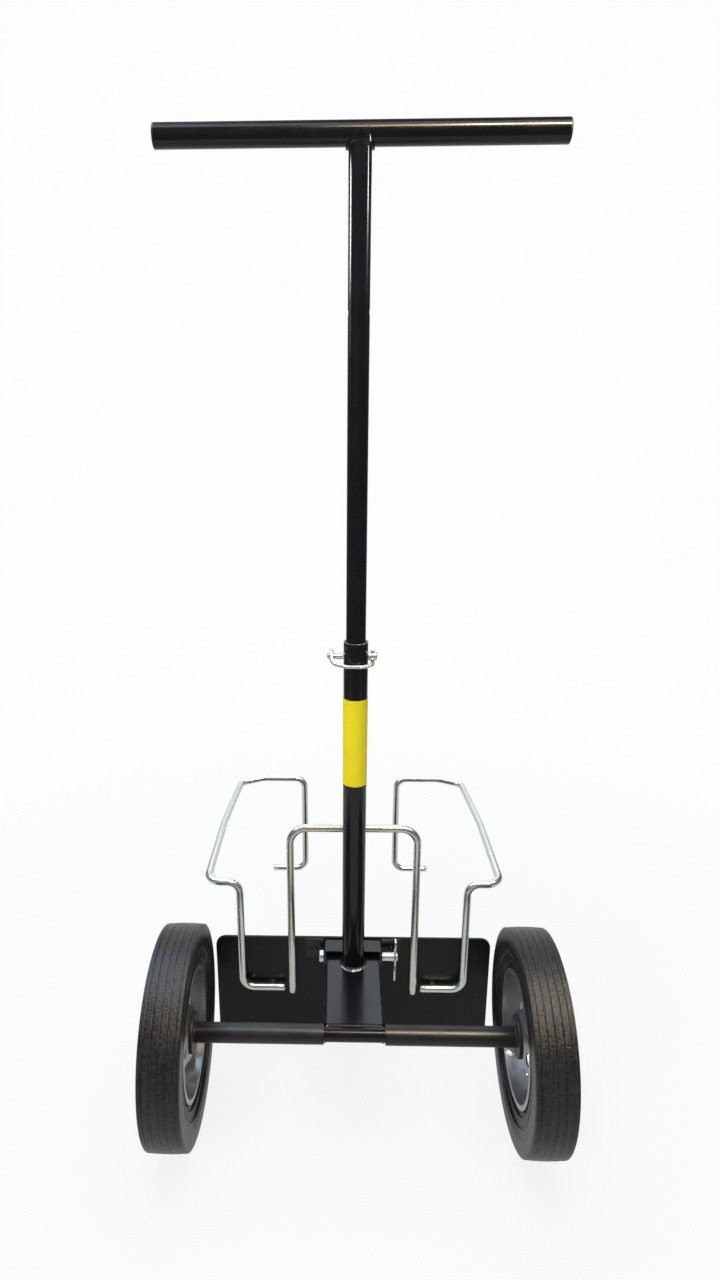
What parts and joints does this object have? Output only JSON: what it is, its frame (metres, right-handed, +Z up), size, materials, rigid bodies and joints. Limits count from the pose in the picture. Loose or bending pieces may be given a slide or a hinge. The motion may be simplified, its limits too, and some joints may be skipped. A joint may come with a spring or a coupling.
{
  "type": "fuel can cart",
  "caption": "Hand cart for a fuel can: T-handle telescoping mast on a wheeled base, with a floor shelf and bent wire arms that go round the can.",
  "frame": {"origin": "On the floor, in the middle of the cart's outline, between the wheels' rear and the front wires.", "axes": "+Z is up, with the mast leaning 3 degrees back from it, +Y is forward towards the can, +X is the cart's right hand as its user stands behind it."},
  "size_m": [0.508, 0.6334, 1.2173],
  "materials": {
    "black_powder_coat": "gloss black powder coat",
    "satin_black": "satin black",
    "plug_black": "moulded black",
    "label_yellow": "plain yellow vinyl",
    "bright_zinc": "bright zinc plate",
    "pin_zinc": "bright zinc plate",
    "tyre_rubber": "ribbed black rubber",
    "rim_silver": "grey silver paint",
    "hub_black": "moulded black",
    "bush_nylon": "dark nylon"
  },
  "bodies": {
    "frame": {"handle_bar": "black_powder_coat", "handle_plug_left": "plug_black", "handle_plug_right": "plug_black", "handle_tube": "black_powder_coat", "handle_weld": "black_powder_coat", "mast_tube": "black_powder_coat", "mast_label": "label_yellow", "mast_weld": "black_powder_coat", "lock_pin": "pin_zinc", "base_channel": "black_powder_coat", "axle_shaft": "black_powder_coat", "axle_weld": "black_powder_coat", "spacer_sleeve_left": "satin_black", "spacer_sleeve_right": "satin_black", "axle_washer_left": "pin_zinc", "axle_washer_right": "pin_zinc", "axle_cotter_left": "pin_zinc", "axle_cotter_right": "pin_zinc"},
    "keeper": {"lock_pin_keeper": "pin_zinc"},
    "wheel_left": {"tyre_left": "tyre_rubber", "rim_left": "rim_silver", "wheel_disc_left": "rim_silver", "hub_left": "hub_black", "bush_inner_left": "bush_nylon", "bush_outer_left": "bush_nylon"},
    "wheel_right": {"tyre_right": "tyre_rubber", "rim_right": "rim_silver", "wheel_disc_right": "rim_silver", "hub_right": "hub_black", "bush_inner_right": "bush_nylon", "bush_outer_right": "bush_nylon"},
    "toe": {"toe_plate": "black_powder_coat", "hinge_bracket": "black_powder_coat", "bracket_rivets": "black_powder_coat", "clevis_pin": "pin_zinc", "hairpin_clip": "pin_zinc", "back_rest_wire": "bright_zinc", "side_arm_left": "bright_zinc", "side_arm_right": "bright_zinc", "wire_studs": "bright_zinc", "wire_nuts": "bright_zinc"}
  },
  "joints": [
    {"name": "wheel_left_spin", "type": "hinge", "parent": "frame", "child": "wheel_left", "pos_m": [-0.2285, -0.18169, 0.135], "axis": [1, 0, 0], "continuous": true},
    {"name": "wheel_right_spin", "type": "hinge", "parent": "frame", "child": "wheel_right", "pos_m": [0.2285, -0.18169, 0.135], "axis": [1, 0, 0], "continuous": true},
    {"name": "toe_plate_rock", "type": "hinge", "parent": "frame", "child": "toe", "pos_m": [0, -0.032, 0.14485], "axis": [1, 0, 0], "range_deg": [-6, 2.5]},
    {"name": "keeper_swing", "type": "hinge", "parent": "frame", "child": "keeper", "pos_m": [0.02165, -0.08088, 0.61894], "axis": [0, -0.0523, 0.9986], "range_deg": [0, 110]}
  ]
}
